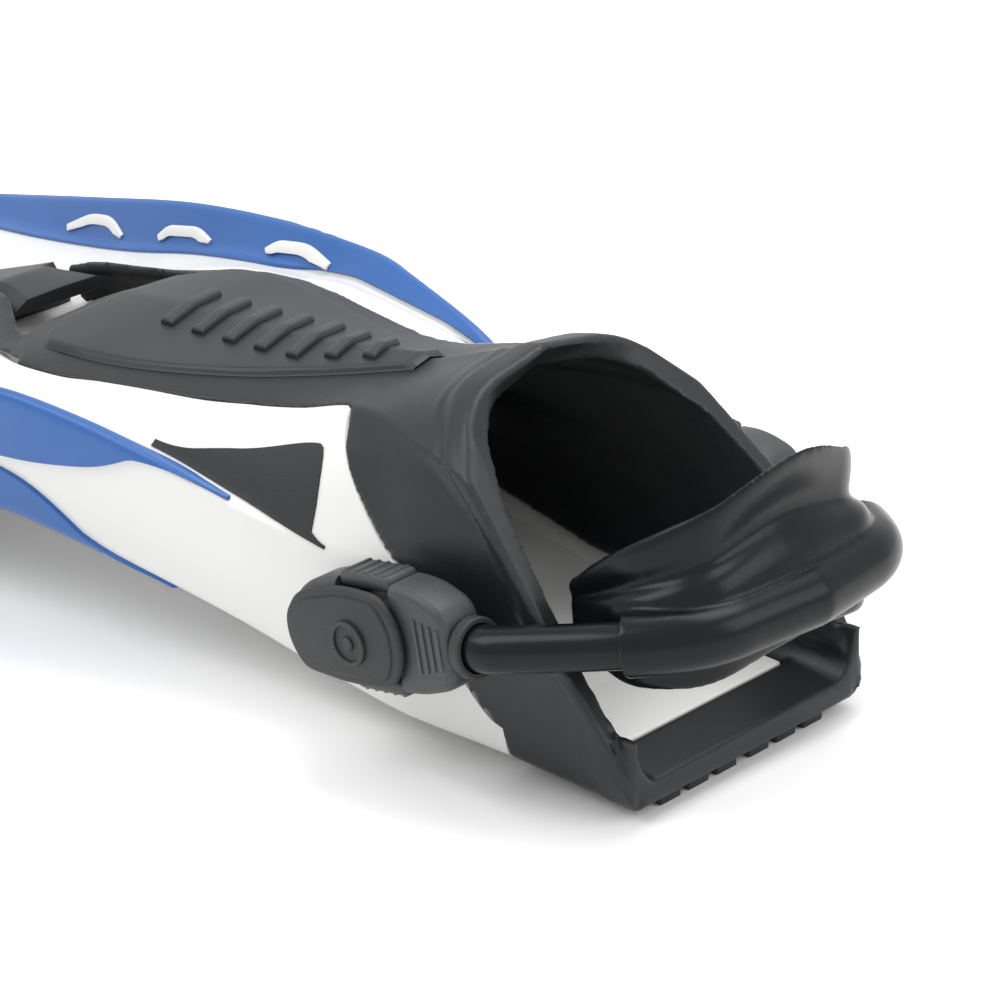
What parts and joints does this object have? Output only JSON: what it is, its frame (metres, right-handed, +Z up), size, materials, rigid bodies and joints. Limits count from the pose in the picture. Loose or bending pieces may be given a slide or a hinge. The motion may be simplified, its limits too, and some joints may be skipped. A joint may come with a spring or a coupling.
{
  "type": "open-heel swim fin",
  "caption": "Open-heel swim fin: white chassis and blade with blue side rails, black rubber foot pocket, and a swivelling cord heel strap on release buckles.",
  "frame": {"origin": "centre of the bounding box at floor level, the fin resting on its heel tread and the ends of its rails", "axes": "+X towards the heel and strap, -X to the blade tip, +Y across the fin, +Z up"},
  "size_m": [0.6402, 0.23, 0.102],
  "materials": {
    "white_polymer": "satin",
    "blue_rail": "satin",
    "black_rubber": "matte",
    "grey_inlay": "matte, fine grain",
    "strap_rubber": "gloss",
    "buckle_plastic": "textured",
    "tab_plastic": "satin",
    "stainless_steel": "brushed"
  },
  "bodies": {
    "fin": {"chassis": "white_polymer", "foot_pocket": "black_rubber", "heel_tread": "black_rubber", "instep_panel": "black_rubber", "centre_spine": "black_rubber", "rail_left": "blue_rail", "rail_right": "blue_rail", "side_inlay_left": "grey_inlay", "side_inlay_right": "grey_inlay", "rail_loop_left_1": "white_polymer", "rail_loop_left_2": "white_polymer", "rail_loop_left_3": "white_polymer", "rail_loop_right_1": "white_polymer", "rail_loop_right_2": "white_polymer", "rail_loop_right_3": "white_polymer", "strap_post_left": "stainless_steel", "strap_post_right": "stainless_steel"},
    "strap": {"buckle_frame_left": "buckle_plastic", "buckle_frame_right": "buckle_plastic", "buckle_cover_left": "tab_plastic", "buckle_cover_right": "tab_plastic", "buckle_badge_left": "buckle_plastic", "buckle_badge_right": "buckle_plastic", "strap_ferrule_left": "buckle_plastic", "strap_ferrule_right": "buckle_plastic", "strap_cord": "strap_rubber"},
    "pad": {"heel_pad": "strap_rubber"},
    "release_tab_upper_left": {"release_tab_upper_left": "tab_plastic"},
    "release_tab_upper_right": {"release_tab_upper_right": "tab_plastic"},
    "release_tab_lower_left": {"release_tab_lower_left": "tab_plastic"},
    "release_tab_lower_right": {"release_tab_lower_right": "tab_plastic"}
  },
  "joints": [
    {"name": "strap_swivel", "type": "hinge", "parent": "fin", "child": "strap", "pos_m": [0.21871, 0, 0.04171], "axis": [0, -1, 0], "range_deg": [-3, 54]},
    {"name": "strap_stretch", "type": "slide", "parent": "strap", "child": "pad", "axis": [0.9903, 0, 0.1392], "range_m": [0, 0.03], "stiffness_N_per_m": 600, "deforming": ["strap_cord"]},
    {"name": "press_upper_left", "type": "slide", "parent": "strap", "child": "release_tab_upper_left", "axis": [0.1392, 0, -0.9903], "range_m": [0, 0.002], "stiffness_N_per_m": 2500},
    {"name": "press_upper_right", "type": "slide", "parent": "strap", "child": "release_tab_upper_right", "axis": [0.1392, 0, -0.9903], "range_m": [0, 0.002], "stiffness_N_per_m": 2500},
    {"name": "press_lower_left", "type": "slide", "parent": "strap", "child": "release_tab_lower_left", "axis": [-0.1392, 0, 0.9903], "range_m": [0, 0.002], "stiffness_N_per_m": 2500},
    {"name": "press_lower_right", "type": "slide", "parent": "strap", "child": "release_tab_lower_right", "axis": [-0.1392, 0, 0.9903], "range_m": [0, 0.002], "stiffness_N_per_m": 2500}
  ]
}
